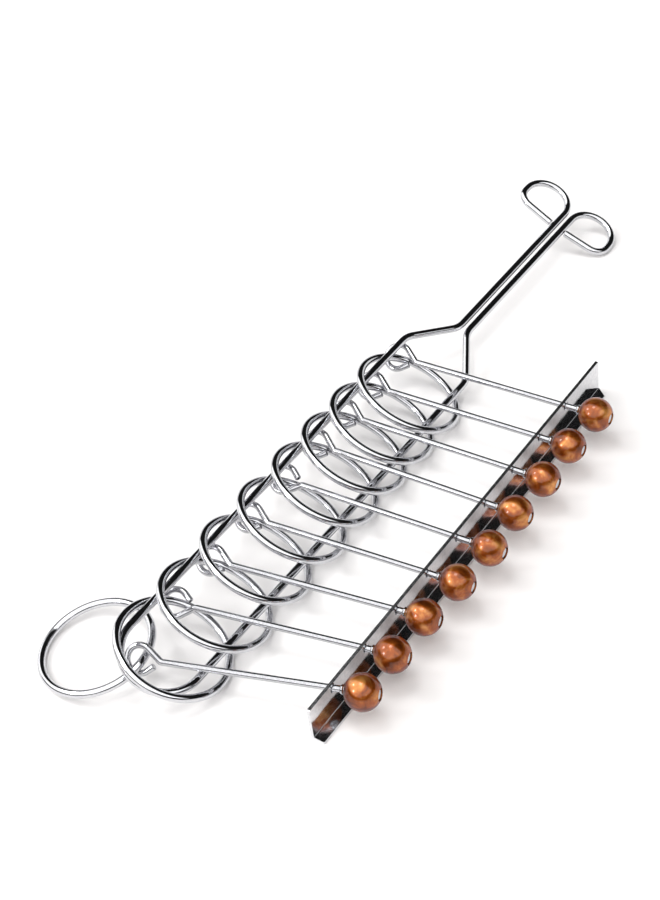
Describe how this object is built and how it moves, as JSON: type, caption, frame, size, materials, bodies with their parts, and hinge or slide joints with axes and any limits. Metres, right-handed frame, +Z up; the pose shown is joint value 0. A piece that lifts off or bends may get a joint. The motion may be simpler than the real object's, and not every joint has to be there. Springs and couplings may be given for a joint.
{
  "type": "ring disentanglement puzzle",
  "caption": "Long wire shuttle with a scissor handle threaded through a row of linked rings, each held by a beaded rod that hangs in a folded steel bar.",
  "frame": {"origin": "middle of the bar's resting face, on the table", "axes": "+Y along the bar towards the handle, +X from the eyes to the beads, +Z up"},
  "size_m": [0.1047, 0.261, 0.0203],
  "materials": {
    "wire_chrome": "polished nickel-plated steel wire",
    "rod_steel": "bright drawn steel wire",
    "bar_steel": "polished folded sheet steel",
    "bead_lacquer": "turned wood under a glossy copper-brown lacquer"
  },
  "bodies": {
    "base_bar": {"base_bar": "bar_steel"},
    "shuttle": {"shuttle": "wire_chrome"},
    "rod_1": {"rod_1": "rod_steel"},
    "bead_1": {"bead_1": "bead_lacquer"},
    "ring_1": {"ring_1": "wire_chrome"},
    "rod_2": {"rod_2": "rod_steel"},
    "bead_2": {"bead_2": "bead_lacquer"},
    "ring_2": {"ring_2": "wire_chrome"},
    "rod_3": {"rod_3": "rod_steel"},
    "bead_3": {"bead_3": "bead_lacquer"},
    "ring_3": {"ring_3": "wire_chrome"},
    "rod_4": {"rod_4": "rod_steel"},
    "bead_4": {"bead_4": "bead_lacquer"},
    "ring_4": {"ring_4": "wire_chrome"},
    "rod_5": {"rod_5": "rod_steel"},
    "bead_5": {"bead_5": "bead_lacquer"},
    "ring_5": {"ring_5": "wire_chrome"},
    "rod_6": {"rod_6": "rod_steel"},
    "bead_6": {"bead_6": "bead_lacquer"},
    "ring_6": {"ring_6": "wire_chrome"},
    "rod_7": {"rod_7": "rod_steel"},
    "bead_7": {"bead_7": "bead_lacquer"},
    "ring_7": {"ring_7": "wire_chrome"},
    "rod_8": {"rod_8": "rod_steel"},
    "bead_8": {"bead_8": "bead_lacquer"},
    "ring_8": {"ring_8": "wire_chrome"},
    "rod_9": {"rod_9": "rod_steel"},
    "bead_9": {"bead_9": "bead_lacquer"},
    "ring_9": {"ring_9": "wire_chrome"}
  },
  "joints": [
    {"name": "shuttle_slide", "type": "slide", "parent": "base_bar", "child": "shuttle", "axis": [0.0028, 1, -0.007], "range_m": [0, 0.0064]},
    {"name": "rod_1_slide", "type": "slide", "parent": "base_bar", "child": "rod_1", "axis": [0.954, 0.2944, 0.0569], "range_m": [-0.0012, 0.003]},
    {"name": "bead_1_spin", "type": "hinge", "parent": "rod_1", "child": "bead_1", "pos_m": [0.00673, -0.0664, 0.0108], "axis": [0.954, 0.2944, 0.0569], "continuous": true},
    {"name": "ring_1_swing", "type": "hinge", "parent": "rod_1", "child": "ring_1", "pos_m": [-0.05586, -0.08612, 0.0067], "axis": [-0.0813, 0.9934, 0.0804], "range_deg": [0, 24]},
    {"name": "rod_2_slide", "type": "slide", "parent": "base_bar", "child": "rod_2", "axis": [0.9757, 0.2188, 0.0138], "range_m": [-0.0011, 0.0001]},
    {"name": "bead_2_spin", "type": "hinge", "parent": "rod_2", "child": "bead_2", "pos_m": [0.0064, -0.05118, 0.01041], "axis": [0.9757, 0.2188, 0.0138], "continuous": true},
    {"name": "ring_2_swing", "type": "hinge", "parent": "rod_2", "child": "ring_2", "pos_m": [-0.0595, -0.06629, 0.01047], "axis": [-0.6704, -0.5665, 0.4793], "range_deg": [0, 3.75]},
    {"name": "rod_3_slide", "type": "slide", "parent": "base_bar", "child": "rod_3", "axis": [0.9842, 0.1767, 0.0091], "range_m": [-0.0013, 0.00015]},
    {"name": "bead_3_spin", "type": "hinge", "parent": "rod_3", "child": "bead_3", "pos_m": [0.00667, -0.0355, 0.01038], "axis": [0.9842, 0.1767, 0.0091], "continuous": true},
    {"name": "ring_3_swing", "type": "hinge", "parent": "rod_3", "child": "ring_3", "pos_m": [-0.06011, -0.04863, 0.01001], "axis": [-0.6145, -0.6064, 0.5046], "range_deg": [0, 4.25]},
    {"name": "rod_4_slide", "type": "slide", "parent": "base_bar", "child": "rod_4", "axis": [0.9932, 0.1163, 0.0091], "range_m": [-0.0025, 0.00025]},
    {"name": "bead_4_spin", "type": "hinge", "parent": "rod_4", "child": "bead_4", "pos_m": [0.00803, -0.01986, 0.01039], "axis": [0.9932, 0.1163, 0.0091], "continuous": true},
    {"name": "ring_4_swing", "type": "hinge", "parent": "rod_4", "child": "ring_4", "pos_m": [-0.06041, -0.02913, 0.01005], "axis": [-0.5969, -0.606, 0.5257], "range_deg": [0, 3.75]},
    {"name": "rod_5_slide", "type": "slide", "parent": "base_bar", "child": "rod_5", "axis": [0.9969, 0.0781, 0.0091], "range_m": [-0.0025, 0.00025]},
    {"name": "bead_5_spin", "type": "hinge", "parent": "rod_5", "child": "bead_5", "pos_m": [0.00907, -0.00416, 0.0104], "axis": [0.9969, 0.0781, 0.0091], "continuous": true},
    {"name": "ring_5_swing", "type": "hinge", "parent": "rod_5", "child": "ring_5", "pos_m": [-0.06047, -0.01088, 0.01014], "axis": [-0.592, -0.614, 0.5221], "range_deg": [0, 3]},
    {"name": "rod_6_slide", "type": "slide", "parent": "base_bar", "child": "rod_6", "axis": [0.9985, 0.0541, 0.0091], "range_m": [-0.0025, 0.0002]},
    {"name": "bead_6_spin", "type": "hinge", "parent": "rod_6", "child": "bead_6", "pos_m": [0.00848, 0.01155, 0.01039], "axis": [0.9985, 0.0541, 0.0091], "continuous": true},
    {"name": "ring_6_swing", "type": "hinge", "parent": "rod_6", "child": "ring_6", "pos_m": [-0.06045, 0.00653, 0.01021], "axis": [-0.592, -0.6218, 0.5127], "range_deg": [0, 2.5]},
    {"name": "rod_7_slide", "type": "slide", "parent": "base_bar", "child": "rod_7", "axis": [0.9981, 0.0609, 0.0091], "range_m": [-0.0025, 0.00025]},
    {"name": "bead_7_spin", "type": "hinge", "parent": "rod_7", "child": "bead_7", "pos_m": [0.00858, 0.02763, 0.01039], "axis": [0.9981, 0.0609, 0.0091], "continuous": true},
    {"name": "ring_7_swing", "type": "hinge", "parent": "rod_7", "child": "ring_7", "pos_m": [-0.06042, 0.02215, 0.01025], "axis": [-0.5932, -0.6269, 0.5051], "range_deg": [0, 2]},
    {"name": "rod_8_slide", "type": "slide", "parent": "base_bar", "child": "rod_8", "axis": [0.9973, 0.0734, 0.0091], "range_m": [-0.0025, 0.0002]},
    {"name": "bead_8_spin", "type": "hinge", "parent": "rod_8", "child": "bead_8", "pos_m": [0.00827, 0.04373, 0.01039], "axis": [0.9973, 0.0734, 0.0091], "continuous": true},
    {"name": "ring_8_swing", "type": "hinge", "parent": "rod_8", "child": "ring_8", "pos_m": [-0.06041, 0.03759, 0.01044], "axis": [-0.591, -0.645, 0.4844], "range_deg": [0, 1.25]},
    {"name": "rod_9_slide", "type": "slide", "parent": "base_bar", "child": "rod_9", "axis": [0.997, 0.0765, 0.0091], "range_m": [-0.0025, 0.00015]},
    {"name": "bead_9_spin", "type": "hinge", "parent": "rod_9", "child": "bead_9", "pos_m": [0.00877, 0.0598, 0.01039], "axis": [0.997, 0.0765, 0.0091], "continuous": true},
    {"name": "ring_9_swing", "type": "hinge", "parent": "rod_9", "child": "ring_9", "pos_m": [-0.06035, 0.05327, 0.01036], "axis": [-0.5962, -0.6377, 0.4877], "range_deg": [0, 1]}
  ]
}
